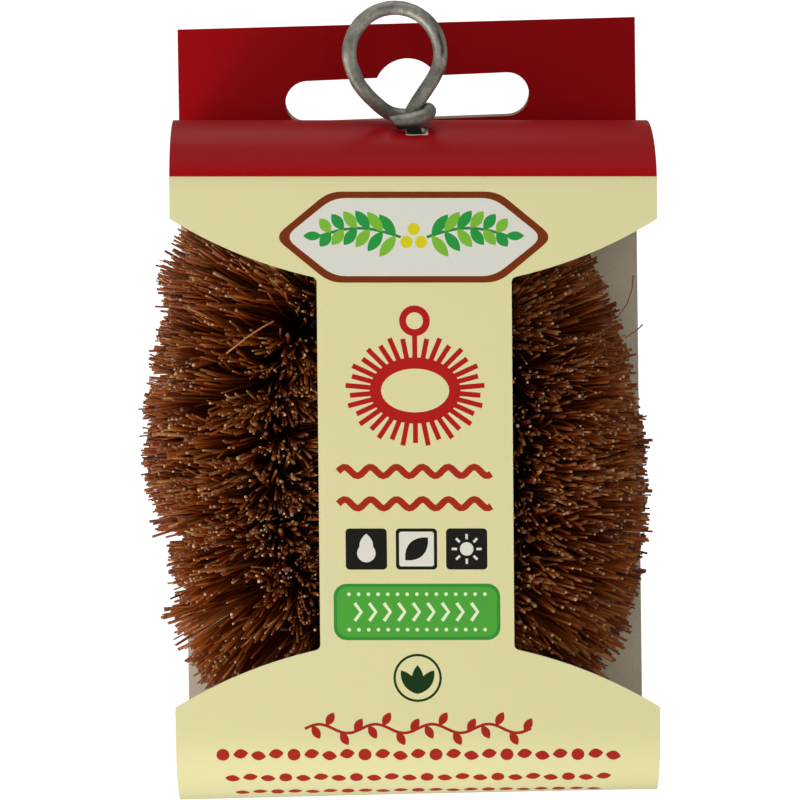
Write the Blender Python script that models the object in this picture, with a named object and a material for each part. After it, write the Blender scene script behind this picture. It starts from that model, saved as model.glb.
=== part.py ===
"""Coir dish brush held in a folded card sleeve. Metres, +Z up.

The pack hangs from the slot in the sleeve's header, and the origin is the middle of that slot. The front
panel faces -Y. The brush is a pair of wires twisted round each other along an oval, with a fan of coir
caught in each half twist. One wire goes on through the top of the sleeve and makes the hanging eye.
"""

import math
import random

import bmesh
import bpy
from mathutils import Vector

MM = 0.001

# Clearances
GAP = 0.3 * MM  # left between pieces that touch

# Card sleeve
CARD = 0.45 * MM
SLEEVE_WIDTH = 60 * MM
SLEEVE_DEPTH = 36.2 * MM  # outside, from the front panel to the back of the header's front layer
PANEL_HEIGHT = 67.7 * MM  # flat height between the rounded top and the rounded bottom
TOP_RISE = 8 * MM  # from the flat height to the crest, in front
TOP_BACK_FALL = 3.2 * MM  # from the crest to the fold under the header
BOTTOM_DROP = 8.9 * MM  # from the flat height to the lowest line, in front
BOTTOM_FRONT_DEPTH = 11 * MM  # from the front panel back to the lowest line
BOTTOM_BACK_RISE = 4 * MM  # from the lowest line to the crease under the back panel
CREST_BELOW_SLOT = 3.3 * MM
HEADER_ABOVE_SLOT = 9.65 * MM
STRIP_WIDTH = 24 * MM  # waist of the front panel
STRIP_BELOW_TOP = 11.4 * MM  # from the top of the flat height to the strip's upper end
STRIP_ABOVE_FOOT = 10.35 * MM  # from the foot of the flat height to its lower end
WAIST_EDGE_RADIUS = 57 * MM
WAIST_FILLET = 0.8 * MM

# Hanging slot in the header
SLOT_WIDTH = 32 * MM
SLOT_HEIGHT = 5.7 * MM
SLOT_BUMP_RADIUS = 4.35 * MM
SLOT_BUMP_RISE = 2.4 * MM
SLOT_MISMATCH = 0.4 * MM  # the back layer's slot sits this much higher

# Hole in the rounded top, through which the wire's end is threaded before its eye is bent
NECK_HOLE = 2.7 * MM
TEAR_FORWARD = 3.1 * MM  # how far in front of the wire's middle the card is torn open
TEAR_WIDTH = 2.5 * MM

# Wire
WIRE = 1.8 * MM
TWIST_OFFSET = 1.15 * MM  # from the core's middle to each wire's middle
TURNS = 9  # whole turns of the twist round the oval
CORE_BORE = 5.4 * MM  # left free round the axis of the core by the fibres

# Brush
BRUSH_SHIFT = -2.4 * MM  # it sits a little to the left in the sleeve
BRUSH_LOW = 1.15 * MM  # its middle sits this much below the flat height's middle
CORE_RADIUS = 15 * MM  # of the oval's two round ends
ROUND_ENDS = 53.7 * MM  # of the flat height, what the oval's straight part leaves to its ends
CORE_STRAIGHT = PANEL_HEIGHT - ROUND_ENDS
NECK_ANGLE = 20.0  # degrees from the top to the first fibre, on each side
FAN_COUNT = 18
FAN_SIDES = 20
TIP_CLEARANCE = 1.1 * MM  # from the tips to the outside of the sleeve, in front
LOCK_LENGTH = 3.8 * MM  # what stands out of the mass, where the fibres are too close to tell apart
FIBRE_REACH = SLEEVE_DEPTH / 2 - TIP_CLEARANCE  # from the core to the tips
MASS_RADIUS = FIBRE_REACH - LOCK_LENGTH
LOCK_TIP = 0.24  # a lock's tip against its root
LOCK_SPREAD = 115.0  # degrees each way from straight outwards
TIP_JITTER = 0.45 * MM

# Neck and eye
NECK_X = 0.47 * MM
NECK_FORWARD = 8.4 * MM  # in front of the sleeve's middle
NECK_BEND_RADIUS = 4.2 * MM
CORE_END_BELOW_CREST = 12 * MM
EYE_RADIUS = 5.7 * MM
EYE_SHIFT = -2.2 * MM
EYE_ABOVE_CARD = 9.15 * MM
WRAP_RADIUS = 2.3 * MM

# Places that follow
FRONT_Y = -SLEEVE_DEPTH + CARD / 2 - GAP / 2
WRAP_HEADER_Y = -(GAP + CARD) / 2
BACK_Y = (GAP + CARD) / 2
CREST_Z = -CREST_BELOW_SLOT
TOP_FLAT_Z = CREST_Z - TOP_RISE
FOOT_FLAT_Z = TOP_FLAT_Z - PANEL_HEIGHT
LOWEST_Y = FRONT_Y + BOTTOM_FRONT_DEPTH
LOWEST_Z = FOOT_FLAT_Z - BOTTOM_DROP
CREASE_Z = LOWEST_Z + BOTTOM_BACK_RISE
STRIP_TOP_Z = TOP_FLAT_Z - STRIP_BELOW_TOP
STRIP_FOOT_Z = FOOT_FLAT_Z + STRIP_ABOVE_FOOT
TOP_HALF_DEPTH = (WRAP_HEADER_Y - FRONT_Y) / 2
TOP_MIDDLE_Y = (WRAP_HEADER_Y + FRONT_Y) / 2
BRUSH_Y = (FRONT_Y + BACK_Y) / 2
BRUSH_Z = TOP_FLAT_Z - PANEL_HEIGHT / 2 - BRUSH_LOW
NECK_Y = TOP_MIDDLE_Y - NECK_FORWARD
ROUND_STEPS = 14  # facets of each rounded end of the sleeve


def clear_scene():
    for obj in list(bpy.data.objects):
        bpy.data.objects.remove(obj, do_unlink=True)


def material(name, colour, roughness, metallic=0.0):
    made = bpy.data.materials.new(name)
    made.use_nodes = True
    shader = made.node_tree.nodes["Principled BSDF"]
    shader.inputs["Base Color"].default_value = (*colour, 1.0)
    shader.inputs["Roughness"].default_value = roughness
    shader.inputs["Metallic"].default_value = metallic
    return made


def add_mesh(name, mesh, finish=None):
    obj = bpy.data.objects.new(name, mesh)
    bpy.context.scene.collection.objects.link(obj)
    if finish:
        mesh.materials.append(finish)
    return obj


def hide_cutter(obj):
    obj.hide_render = True
    obj.display_type = "WIRE"
    return obj


def cut(obj, cutter):
    modifier = obj.modifiers.new(cutter.name, "BOOLEAN")
    modifier.operation = "DIFFERENCE"
    modifier.solver = "EXACT"
    modifier.object = cutter


def arc(centre, radius, start, end, steps):
    """Points on a circle in a plane, angles in degrees."""
    angles = [math.radians(start + (end - start) * i / steps) for i in range(steps + 1)]
    return [(centre[0] + radius * math.cos(a), centre[1] + radius * math.sin(a)) for a in angles]


def prism(name, outline, place, along):
    """A closed cutter: the outline's points, put in space by `place`, carried by the vector `along`."""
    bm = bmesh.new()
    face = bm.faces.new([bm.verts.new(place(a, b)) for a, b in outline])
    grown = bmesh.ops.extrude_face_region(bm, geom=[face])
    moved = [item for item in grown["geom"] if isinstance(item, bmesh.types.BMVert)]
    bmesh.ops.translate(bm, vec=along, verts=moved)
    bmesh.ops.recalc_face_normals(bm, faces=bm.faces)
    mesh = bpy.data.meshes.new(name)
    bm.to_mesh(mesh)
    bm.free()
    return hide_cutter(add_mesh(name, mesh))


# Card sleeve


def top_height(y):
    """Height of the middle of the card's thickness over the rounded top: a quarter ellipse in front of the
    crest, and a shallow parabola down to the header's fold behind it."""
    reach = (y - TOP_MIDDLE_Y) / TOP_HALF_DEPTH
    if reach > 0:
        return CREST_Z - TOP_BACK_FALL * reach * reach
    return TOP_FLAT_Z + TOP_RISE * math.sqrt(max(0.0, 1 - reach * reach))


def rounded_top():
    """From the header's fold forward over the crest to the front panel."""
    angles = [math.pi * i / ROUND_STEPS for i in range(ROUND_STEPS + 1)]
    ys = [TOP_MIDDLE_Y + TOP_HALF_DEPTH * math.cos(a) for a in angles]
    return [(y, top_height(y)) for y in ys]


def rounded_bottom():
    """From the front panel's foot round under the brush: a quarter ellipse down to the lowest line, and a
    shallow parabola up to the crease, where it stops short of the back panel."""
    half = ROUND_STEPS // 2
    angles = [math.pi / 2 * i / half for i in range(half + 1)]
    curve = [
        (LOWEST_Y - BOTTOM_FRONT_DEPTH * math.cos(a), FOOT_FLAT_Z - BOTTOM_DROP * math.sin(a))
        for a in angles
    ]
    depth = BACK_Y - LOWEST_Y
    slope = math.atan(2 * BOTTOM_BACK_RISE / depth)
    end_y = BACK_Y - CARD / 2 - GAP - CARD / 2 * math.sin(slope)
    for i in range(1, half + 1):
        y = LOWEST_Y + (end_y - LOWEST_Y) * i / half
        curve.append((y, LOWEST_Z + BOTTOM_BACK_RISE * ((y - LOWEST_Y) / depth) ** 2))
    return curve


def card_strip(name, centre_line, finish):
    """A strip of card, its middle surface given as (y, z) points, as wide as the sleeve."""
    bm = bmesh.new()
    rows = [
        [bm.verts.new((side * SLEEVE_WIDTH / 2, y, z)) for side in (-1, 1)] for y, z in centre_line
    ]
    for (left, right), (next_left, next_right) in zip(rows, rows[1:]):
        bm.faces.new((left, right, next_right, next_left))
    mesh = bpy.data.meshes.new(name)
    bm.to_mesh(mesh)
    bm.free()
    obj = add_mesh(name, mesh, finish)
    thickness = obj.modifiers.new("Board", "SOLIDIFY")
    thickness.thickness = CARD
    thickness.offset = 0
    thickness.use_even_offset = True
    return obj


def waist_edge(x, strip_z, sign):
    """Height of the waist's curved edge at x: an arc about the middle line, meeting the strip at strip_z."""
    at_strip = math.sqrt(WAIST_EDGE_RADIUS**2 - (STRIP_WIDTH / 2) ** 2)
    return strip_z + sign * (at_strip - math.sqrt(WAIST_EDGE_RADIUS**2 - x * x))


def waist_cutter(name, side):
    """The piece punched out at one side of the front panel."""
    steps = 10
    beyond = SLEEVE_WIDTH / 2 + 2 * MM
    xs = [STRIP_WIDTH / 2 + (beyond - STRIP_WIDTH / 2) * i / steps for i in range(steps + 1)]
    upper = [(side * x, waist_edge(x, STRIP_TOP_Z, 1)) for x in xs]
    lower = [(side * x, waist_edge(x, STRIP_FOOT_Z, -1)) for x in reversed(xs)]
    front = FRONT_Y - 2 * CARD
    cutter = prism(name, upper + lower, lambda x, z: (x, front, z), Vector((0, 4 * CARD, 0)))
    bm = bmesh.new()
    bm.from_mesh(cutter.data)
    corners = [
        edge
        for edge in bm.edges
        if all(abs(abs(v.co.x) - STRIP_WIDTH / 2) < 1e-6 for v in edge.verts)
        and abs(edge.verts[0].co.y - edge.verts[1].co.y) > CARD
    ]
    bmesh.ops.bevel(bm, geom=corners, offset=WAIST_FILLET, segments=3, affect="EDGES", profile=0.5)
    bm.to_mesh(cutter.data)
    bm.free()
    return cutter


def slot_cutter(name, lift):
    """Round-ended hanging slot with a bump in the middle of its upper edge."""
    end = SLOT_HEIGHT / 2
    reach = SLOT_WIDTH / 2 - end
    bump_z = end + SLOT_BUMP_RISE - SLOT_BUMP_RADIUS
    half_angle = math.degrees(math.acos((end - bump_z) / SLOT_BUMP_RADIUS))
    outline = arc((-reach, 0), end, 270, 90, 8)
    outline += arc((0, bump_z), SLOT_BUMP_RADIUS, 90 + half_angle, 90 - half_angle, 12)
    outline += arc((reach, 0), end, 90, -90, 8)
    depth = 3 * (CARD + GAP)
    return prism(name, outline, lambda x, z: (x, -depth, z + lift), Vector((0, 2 * depth, 0)))


def neck_cutter():
    """Round behind the wire, and torn to a square in front of it."""
    front = NECK_Y - TEAR_FORWARD
    low = top_height(front) - 2 * CARD
    tall = Vector((0, 0, CREST_Z - low + 2 * CARD))
    hole = arc((NECK_X, NECK_Y), NECK_HOLE / 2, 0, 180, 12)
    hole += [(NECK_X - TEAR_WIDTH / 2, front), (NECK_X + TEAR_WIDTH / 2, front)]
    return prism("neck_hole_cutter", hole, lambda x, y: (x, y, low), tall)


def build_sleeve():
    board = material("red_and_cream_card", (0.42, 0.13, 0.07), 0.45)
    header = [(WRAP_HEADER_Y, HEADER_ABOVE_SLOT)]
    wrap = card_strip("sleeve_wrap", header + rounded_top() + rounded_bottom(), board)
    cut(wrap, slot_cutter("front_slot_cutter", 0))
    for side, name in ((-1, "left_waist_cutter"), (1, "right_waist_cutter")):
        cut(wrap, waist_cutter(name, side))
    cut(wrap, neck_cutter())

    raw = material("card_back", (0.30, 0.26, 0.21), 0.8)
    back_line = [(BACK_Y, HEADER_ABOVE_SLOT), (BACK_Y, CREASE_Z - CARD / 2)]
    back = card_strip("sleeve_back", back_line, raw)
    cut(back, slot_cutter("back_slot_cutter", SLOT_MISMATCH))


# Twisted core


def core_oval(s):
    """Place and outward direction, as (x, z) pairs, at the length s along the oval from its top, down the
    -X side first."""
    quarter = math.pi * CORE_RADIUS / 2
    side = 1.0
    length = 4 * quarter + 2 * CORE_STRAIGHT
    if s > length / 2:
        s, side = length - s, -1.0
    if s < quarter:
        a = s / CORE_RADIUS
        out = Vector((-math.sin(a), math.cos(a)))
        centre = Vector((0, CORE_STRAIGHT / 2)) + out * CORE_RADIUS
    elif s < quarter + CORE_STRAIGHT:
        out = Vector((-1, 0))
        centre = Vector((-CORE_RADIUS, CORE_STRAIGHT / 2 - (s - quarter)))
    else:
        a = (s - quarter - CORE_STRAIGHT) / CORE_RADIUS + math.pi / 2
        out = Vector((-math.sin(a), math.cos(a)))
        centre = Vector((0, -CORE_STRAIGHT / 2)) + out * CORE_RADIUS
    return Vector((side * centre.x, centre.y)), Vector((side * out.x, out.y))


OVAL_LENGTH = 2 * math.pi * CORE_RADIUS + 2 * CORE_STRAIGHT
FIRST_FIBRE = math.radians(NECK_ANGLE) * CORE_RADIUS
FIBRE_LENGTH = OVAL_LENGTH - 2 * FIRST_FIBRE


def in_brush(x, y, z):
    return Vector((BRUSH_SHIFT + x, BRUSH_Y + y, BRUSH_Z + z))


def core_axis():
    """The core's middle line: up out of the neck, round the oval, and up to the neck again."""
    place, _ = core_oval(FIRST_FIBRE)
    start = math.radians(NECK_ANGLE)
    bend = []
    for i in range(5):
        heading = math.pi / 2 - (math.pi / 2 - start) * i / 5
        bend.append(
            (
                place.x + NECK_BEND_RADIUS * (math.sin(heading) - math.sin(start)),
                place.y + NECK_BEND_RADIUS * (math.cos(start) - math.cos(heading)),
            )
        )
    end_z = CREST_Z - CORE_END_BELOW_CREST - BRUSH_Z
    rise = [(bend[0][0], end_z + (bend[0][1] - end_z) * i / 3) for i in range(3)]
    lead = rise + bend
    round_steps = TURNS * 8
    oval = [core_oval(FIRST_FIBRE + FIBRE_LENGTH * i / round_steps)[0] for i in range(round_steps + 1)]
    flat = lead + [tuple(point) for point in oval] + [(-x, z) for x, z in reversed(lead)]
    return [Vector((x, 0, z)) for x, z in flat]


def twisted_wire(phase):
    """One wire of the pair: a helix round the core's middle line, a whole turn each 1/TURNS of the oval."""
    axis = core_axis()
    lengths = [0.0]
    for a, b in zip(axis, axis[1:]):
        lengths.append(lengths[-1] + (b - a).length)
    points = []
    for i, middle in enumerate(axis):
        tangent = axis[min(i + 1, len(axis) - 1)] - axis[max(i - 1, 0)]
        inwards = tangent.cross(Vector((0, 1, 0))).normalized()
        angle = phase + 2 * math.pi * TURNS * lengths[i] / FIBRE_LENGTH
        offset = inwards * math.cos(angle) + Vector((0, 1, 0)) * math.sin(angle)
        spot = middle + offset * TWIST_OFFSET
        points.append(in_brush(spot.x, spot.y, spot.z))
    return points


def wire_tube(name, points, sides_level, finish):
    curve = bpy.data.curves.new(name, "CURVE")
    curve.dimensions = "3D"
    curve.bevel_depth = WIRE / 2
    curve.bevel_resolution = sides_level
    curve.use_fill_caps = True
    spline = curve.splines.new("POLY")
    spline.points.add(len(points) - 1)
    for point, place in zip(spline.points, points):
        point.co = (*place, 1.0)
    obj = bpy.data.objects.new(name, curve)
    bpy.context.scene.collection.objects.link(obj)
    curve.materials.append(finish)
    return obj


# Eye


def smooth_route(knots, step):
    """Points every `step` or so on a Catmull-Rom curve through the knots."""
    ends = [2 * knots[0] - knots[1]] + knots + [2 * knots[-1] - knots[-2]]
    points = []
    for p0, p1, p2, p3 in zip(ends, ends[1:], ends[2:], ends[3:]):
        count = max(1, round((p2 - p1).length / step))
        for i in range(count):
            t = i / count
            points.append(
                0.5
                * (
                    2 * p1
                    + (p2 - p0) * t
                    + (2 * p0 - 5 * p1 + 4 * p2 - p3) * t * t
                    + (3 * p1 - p0 - 3 * p2 + p3) * t * t * t
                )
            )
    return points + [knots[-1]]


def eye_route(core_end):
    """From the core's end up through the hole, round the eye, and once round the neck to the cut end."""
    card_top = top_height(NECK_Y) + CARD / 2
    neck = Vector((NECK_X, NECK_Y, card_top))
    seat = WIRE / 2 + GAP  # height of a wire's middle that lies on the card

    def ring(angle, reach=1.0, back=0.0):
        a = math.radians(angle)
        r = reach * EYE_RADIUS
        return neck + Vector((EYE_SHIFT + r * math.cos(a), back, EYE_ABOVE_CARD + r * math.sin(a)))

    def wrap(angle, height, radius=WRAP_RADIUS):
        a = math.radians(angle)
        return neck + Vector((radius * math.cos(a), radius * math.sin(a), height))

    start = core_end + Vector((0, 0, GAP + WIRE / 4))
    knots = [
        start,
        start + Vector((0, 0, 0.5 * WIRE)),
        start + Vector((0, 0, WIRE)),
        neck - Vector((0, 0, 2 * WIRE)),
        neck,
        neck + Vector((-0.14 * WIRE, 0, 1.4 * seat)),
    ]
    knots += [ring(angle) for angle in range(-31, 210, 24)]
    knots += [
        ring(223, 1.04, 0.1 * WIRE),
        ring(243, 1.1, 0.55 * WIRE),
        ring(263, 1.24, 1.05 * WIRE),
        wrap(112, seat + 0.26 * WIRE),
        wrap(78, seat + 0.3 * WIRE),
        wrap(40, seat + 0.4 * WIRE),
        wrap(4, seat + 0.3 * WIRE),
        wrap(-35, seat + 0.1 * WIRE),
        wrap(-75, seat - 0.1 * WIRE),
        wrap(-115, seat - 0.2 * WIRE, 1.05 * WRAP_RADIUS),
        wrap(-144, seat - 0.24 * WIRE, 1.3 * WRAP_RADIUS),
    ]
    return smooth_route(knots, 0.9 * MM)


def least_gap_to_itself(points, diameter):
    """Clear distance between stretches of one wire that lie more than three diameters apart along it."""
    lengths = [0.0]
    for a, b in zip(points, points[1:]):
        lengths.append(lengths[-1] + (b - a).length)
    far = 3 * diameter
    pairs = [
        (points[i] - points[j]).length
        for i in range(len(points))
        for j in range(i)
        if lengths[i] - lengths[j] > far
    ]
    return min(pairs) - diameter


def build_wires():
    galvanised = material("galvanised_wire", (0.28, 0.29, 0.26), 0.45, 0.7)
    first = twisted_wire(0)
    second = twisted_wire(math.pi)
    wire_tube("core_wire_a", first, 1, galvanised)
    wire_tube("core_wire_b", second, 1, galvanised)
    eye = eye_route(first[0])
    wire_tube("eye_wire", eye, 2, galvanised)
    print(f"eye wire: least gap to itself {least_gap_to_itself(eye, WIRE) / MM:.2f} mm")


# Coir


def fan_ring(s, shift, radius):
    """A ring of points round the core, in the plane square to the oval at s, moved along it by shift."""
    centre, out = core_oval(s)
    along = Vector((-out.y, out.x)) * shift
    points = []
    for i in range(FAN_SIDES):
        a = 2 * math.pi * (i + 0.5) / FAN_SIDES
        flat = centre + along + out * (radius * math.cos(a))
        points.append(in_brush(flat.x, radius * math.sin(a), flat.y))
    return points


def lock_reach(across):
    """How far from the core a lock's tip lies: to the brush's outline, or to the middle of the oval."""
    to_middle = CORE_RADIUS - GAP
    if across < 0:
        return min(FIBRE_REACH, to_middle / -across)
    return FIBRE_REACH


def grow_lock(bm, face, rng):
    """Draws one lock of fibre out of a face of the dense mass, away from the core."""
    middle = face.calc_center_median()
    x, z = middle.x - BRUSH_SHIFT, middle.z - BRUSH_Z
    centre, out = nearest_core(x, z)
    radial = Vector((x - centre.x, middle.y - BRUSH_Y, z - centre.y))
    away = radial.normalized()
    across = away.x * out.x + away.z * out.y
    jitter = Vector([rng.uniform(-TIP_JITTER, TIP_JITTER) for _ in range(3)])
    tip = in_brush(centre.x, 0, centre.y) + away * lock_reach(across) + jitter
    grown = bmesh.ops.extrude_discrete_faces(bm, faces=[face])["faces"][0]
    for vert in grown.verts:
        vert.co = tip + (vert.co - middle) * LOCK_TIP


def nearest_core(x, z):
    """The core's place and outward direction abreast of a point in the brush's plane."""
    half = CORE_STRAIGHT / 2
    level = max(-half, min(half, z))
    if abs(z) <= half:
        out = Vector((math.copysign(1, x), 0))
    else:
        out = Vector((x, z - level)).normalized()
    return Vector((0, level)) + out * CORE_RADIUS, out


def coir_fan(name, start, end, finish, rng):
    bm = bmesh.new()
    middle = (start + end) / 2
    stations = [(start, GAP / 2), (middle, 0), (end, -GAP / 2)]
    outer = [[bm.verts.new(p) for p in fan_ring(s, shift, MASS_RADIUS)] for s, shift in stations]
    bore = [[bm.verts.new(p) for p in fan_ring(s, shift, CORE_BORE / 2)] for s, shift in stations]
    skin = []
    for i in range(FAN_SIDES):
        j = (i + 1) % FAN_SIDES
        for a, b in zip(outer, outer[1:]):
            skin.append(bm.faces.new((a[i], b[i], b[j], a[j])))
        for a, b in zip(bore, bore[1:]):
            bm.faces.new((a[j], b[j], b[i], a[i]))
        bm.faces.new((outer[0][j], bore[0][j], bore[0][i], outer[0][i]))
        bm.faces.new((outer[-1][i], bore[-1][i], bore[-1][j], outer[-1][j]))
    bmesh.ops.recalc_face_normals(bm, faces=bm.faces)
    spread = math.radians(LOCK_SPREAD)
    roots = []
    for face in skin:
        spot = face.calc_center_median()
        centre, out = nearest_core(spot.x - BRUSH_SHIFT, spot.z - BRUSH_Z)
        across = (spot.x - BRUSH_SHIFT - centre.x) * out.x + (spot.z - BRUSH_Z - centre.y) * out.y
        if math.acos(max(-1, min(1, across / MASS_RADIUS))) < spread:
            roots.append(face)
    for face in roots:
        grow_lock(bm, face, rng)
    mesh = bpy.data.meshes.new(name)
    bm.to_mesh(mesh)
    bm.free()
    add_mesh(name, mesh, finish)
    return len(roots)


def build_coir():
    coir = material("coir_fibre", (0.22, 0.085, 0.03), 0.85)
    rng = random.Random(7)
    width = FIBRE_LENGTH / FAN_COUNT
    locks = 0
    for i in range(FAN_COUNT):
        start = FIRST_FIBRE + i * width
        locks += coir_fan(f"coir_fan_{i + 1:02d}", start, start + width, coir, rng)
    print(f"coir: {FAN_COUNT} fans, {locks} locks")


def main():
    clear_scene()
    build_sleeve()
    build_wires()
    build_coir()


main()
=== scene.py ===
"""Looks of a coir dish brush held in a folded card sleeve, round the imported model. Metres, +Z up.

After the studio, the sections follow the object as it is put together: the wire, the coir caught in it,
and the card that is folded round both, with the crease at its back.
"""

import bpy
import numpy as np
from mathutils import Matrix
from mathutils.geometry import delaunay_2d_cdt


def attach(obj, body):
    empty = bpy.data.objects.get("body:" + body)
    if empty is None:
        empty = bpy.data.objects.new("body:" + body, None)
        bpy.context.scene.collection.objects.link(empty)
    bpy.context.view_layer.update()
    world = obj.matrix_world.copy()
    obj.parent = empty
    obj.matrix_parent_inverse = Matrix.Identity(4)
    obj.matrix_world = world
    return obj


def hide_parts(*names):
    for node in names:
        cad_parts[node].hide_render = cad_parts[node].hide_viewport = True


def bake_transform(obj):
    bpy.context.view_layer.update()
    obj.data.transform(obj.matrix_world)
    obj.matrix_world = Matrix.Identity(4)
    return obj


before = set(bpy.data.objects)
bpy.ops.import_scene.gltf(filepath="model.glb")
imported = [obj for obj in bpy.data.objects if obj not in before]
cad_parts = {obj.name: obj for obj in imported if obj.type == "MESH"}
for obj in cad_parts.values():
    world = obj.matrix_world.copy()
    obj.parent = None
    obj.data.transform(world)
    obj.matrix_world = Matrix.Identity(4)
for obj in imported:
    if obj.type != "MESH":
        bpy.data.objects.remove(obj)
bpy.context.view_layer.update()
MM = 0.001

# Camera
# It stands half a metre in front of the pack and looks down by three degrees. The picture leans a little,
# as the photograph does.

AIM = np.array([-1.69, -18.0, -38.7]) * MM
STAND_OFF = 540 * MM
AZIMUTH, ELEVATION, LEAN = np.radians([0.56, 3.0, 0.92])
FOCAL_LENGTH = 190.4

bpy.context.scene.view_settings.view_transform = "Standard"
level_ahead = np.array([np.sin(AZIMUTH), np.cos(AZIMUTH), 0])
level_right = np.array([np.cos(AZIMUTH), -np.sin(AZIMUTH), 0])
ahead = np.cos(ELEVATION) * level_ahead - [0, 0, np.sin(ELEVATION)]
level_up = np.cross(level_right, ahead)
right = np.cos(LEAN) * level_right - np.sin(LEAN) * level_up
up = np.sin(LEAN) * level_right + np.cos(LEAN) * level_up
camera = bpy.data.objects.new("camera", bpy.data.cameras.new("camera"))
camera.data.lens = FOCAL_LENGTH
camera.data.clip_start = 10 * MM
placed = np.eye(4)
placed[:3] = np.column_stack([right, up, -ahead, AIM - STAND_OFF * ahead])
camera.matrix_world = Matrix(placed)
bpy.context.scene.collection.objects.link(camera)
bpy.context.scene.camera = camera

# Studio
# The pack hangs in a round white cove, so that every side has the same plain paper behind it. Two soft
# boxes stand low in front, the left one by far the stronger, and two hang above. Small panels in front and
# at the sides lighten the shade.

COVE_RADIUS = 2.6
COVE_CURVE = 0.9
COVE_HEIGHT = 2.6
COVE_FLOOR = -0.85


def linear(hexcode):
    """An sRGB hex colour as linear red, green and blue: a channel c becomes c / 12.92 up to 0.04045, and
    ((c + 0.055) / 1.055) to the power 2.4 above."""
    srgb = np.array([int(hexcode[i : i + 2], 16) for i in (0, 2, 4)]) / 255
    return np.where(srgb <= 0.04045, srgb / 12.92, ((srgb + 0.055) / 1.055) ** 2.4)


def rgba(hexcode):
    return (*linear(hexcode), 1.0)


def feed(material, shader, inputs):
    """Gives a shader node its inputs: each socket's name or number with its value, or with the output that
    feeds it."""
    for name, value in inputs.items():
        if isinstance(value, bpy.types.NodeSocket):
            material.node_tree.links.new(value, shader.inputs[name])
        else:
            shader.inputs[name].default_value = value


def node(material, kind, inputs=None, **settings):
    """Adds a shader node and feeds it. The settings are its own properties."""
    made = material.node_tree.nodes.new("ShaderNode" + kind)
    for name, value in settings.items():
        setattr(made, name, value)
    feed(material, made, inputs or {})
    return made


def between(material, value, low, high):
    """A value from 0 to 1, spread from low to high."""
    inputs = {"Value": value, "To Min": low, "To Max": high}
    return node(material, "MapRange", inputs).outputs["Result"]


def noise(material, place, scale, detail, roughness):
    """Soft noise from 0 to 1. The scale counts its lumps in a unit of the place."""
    inputs = {"Vector": place, "Scale": scale, "Detail": detail, "Roughness": roughness}
    return node(material, "TexNoise", inputs).outputs["Fac"]


def roughened(material, height, strength, distance):
    """A surface's direction, leaning as if the height stood out of it by the distance."""
    inputs = {"Height": height, "Strength": strength, "Distance": distance}
    return node(material, "Bump", inputs).outputs["Normal"]


def ramp(material, factor, stops):
    """The colours that a factor picks from (position, hex colour) stops, in rising order."""
    made = node(material, "ValToRGB", {"Fac": factor})
    elements = made.color_ramp.elements
    for element, (position, hexcode) in zip(elements, (stops[0], stops[-1])):
        element.position, element.color = position, rgba(hexcode)
    for position, hexcode in stops[1:-1]:
        elements.new(position).color = rgba(hexcode)
    return made.outputs["Color"]


def mix(material, share, first, second, blend="MIX"):
    """Two colours mixed, or blended in another way, by the share of the second one."""
    inputs = {0: share, 6: first, 7: second}
    return node(material, "Mix", inputs, data_type="RGBA", blend_type=blend).outputs[2]


def new_material(name):
    """A material with a Principled BSDF, and that shader."""
    material = bpy.data.materials.new(name)
    material.use_nodes = True
    return material, material.node_tree.nodes["Principled BSDF"]


def skin(name, points, triangles, material):
    """A smooth mesh object at the origin, from points (n, 3) in metres and triangles (m, 3) of their
    numbers."""
    mesh = bpy.data.meshes.new(name)
    mesh.vertices.add(len(points))
    mesh.vertices.foreach_set("co", np.asarray(points, np.float32).ravel())
    mesh.loops.add(triangles.size)
    mesh.loops.foreach_set("vertex_index", np.asarray(triangles, np.int32).ravel())
    mesh.polygons.add(len(triangles))
    mesh.polygons.foreach_set("loop_start", np.arange(0, triangles.size, 3, dtype=np.int32))
    mesh.update(calc_edges=True)
    mesh.shade_smooth()
    mesh.materials.append(material)
    obj = bpy.data.objects.new(name, mesh)
    bpy.context.scene.collection.objects.link(obj)
    return obj


def attribute(obj, name, kind, domain, field, values):
    """Gives an object's mesh an attribute with a value for each point or corner."""
    layer = obj.data.attributes.new(name, kind, domain)
    layer.data.foreach_set(field, values.astype(np.float32).ravel())


def grid_triangles(rows, columns, closed):
    """Triangles of a grid of points, row by row; a closed grid joins its last column to its first."""
    across = columns if closed else columns - 1
    i, j = np.meshgrid(np.arange(rows - 1), np.arange(across), indexing="ij")
    a, b = i * columns + j, i * columns + (j + 1) % columns
    c, d = a + columns, b + columns
    return np.stack([a, b, d, a, d, c], -1).reshape(-1, 3)


def cove_profile():
    """Radius and height of the cove: flat, then a quarter circle, then straight up."""
    turn = np.radians(np.linspace(0, 90, 24))
    curve_r = COVE_RADIUS + COVE_CURVE * np.sin(turn)
    curve_z = COVE_CURVE * (1 - np.cos(turn))
    floor_r = np.linspace(1e-4, COVE_RADIUS, 30)[:-1]
    r = np.concatenate([floor_r, curve_r, curve_r[-1:]])
    z = np.concatenate([np.zeros_like(floor_r), curve_z, [COVE_HEIGHT]])
    return r, z


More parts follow.
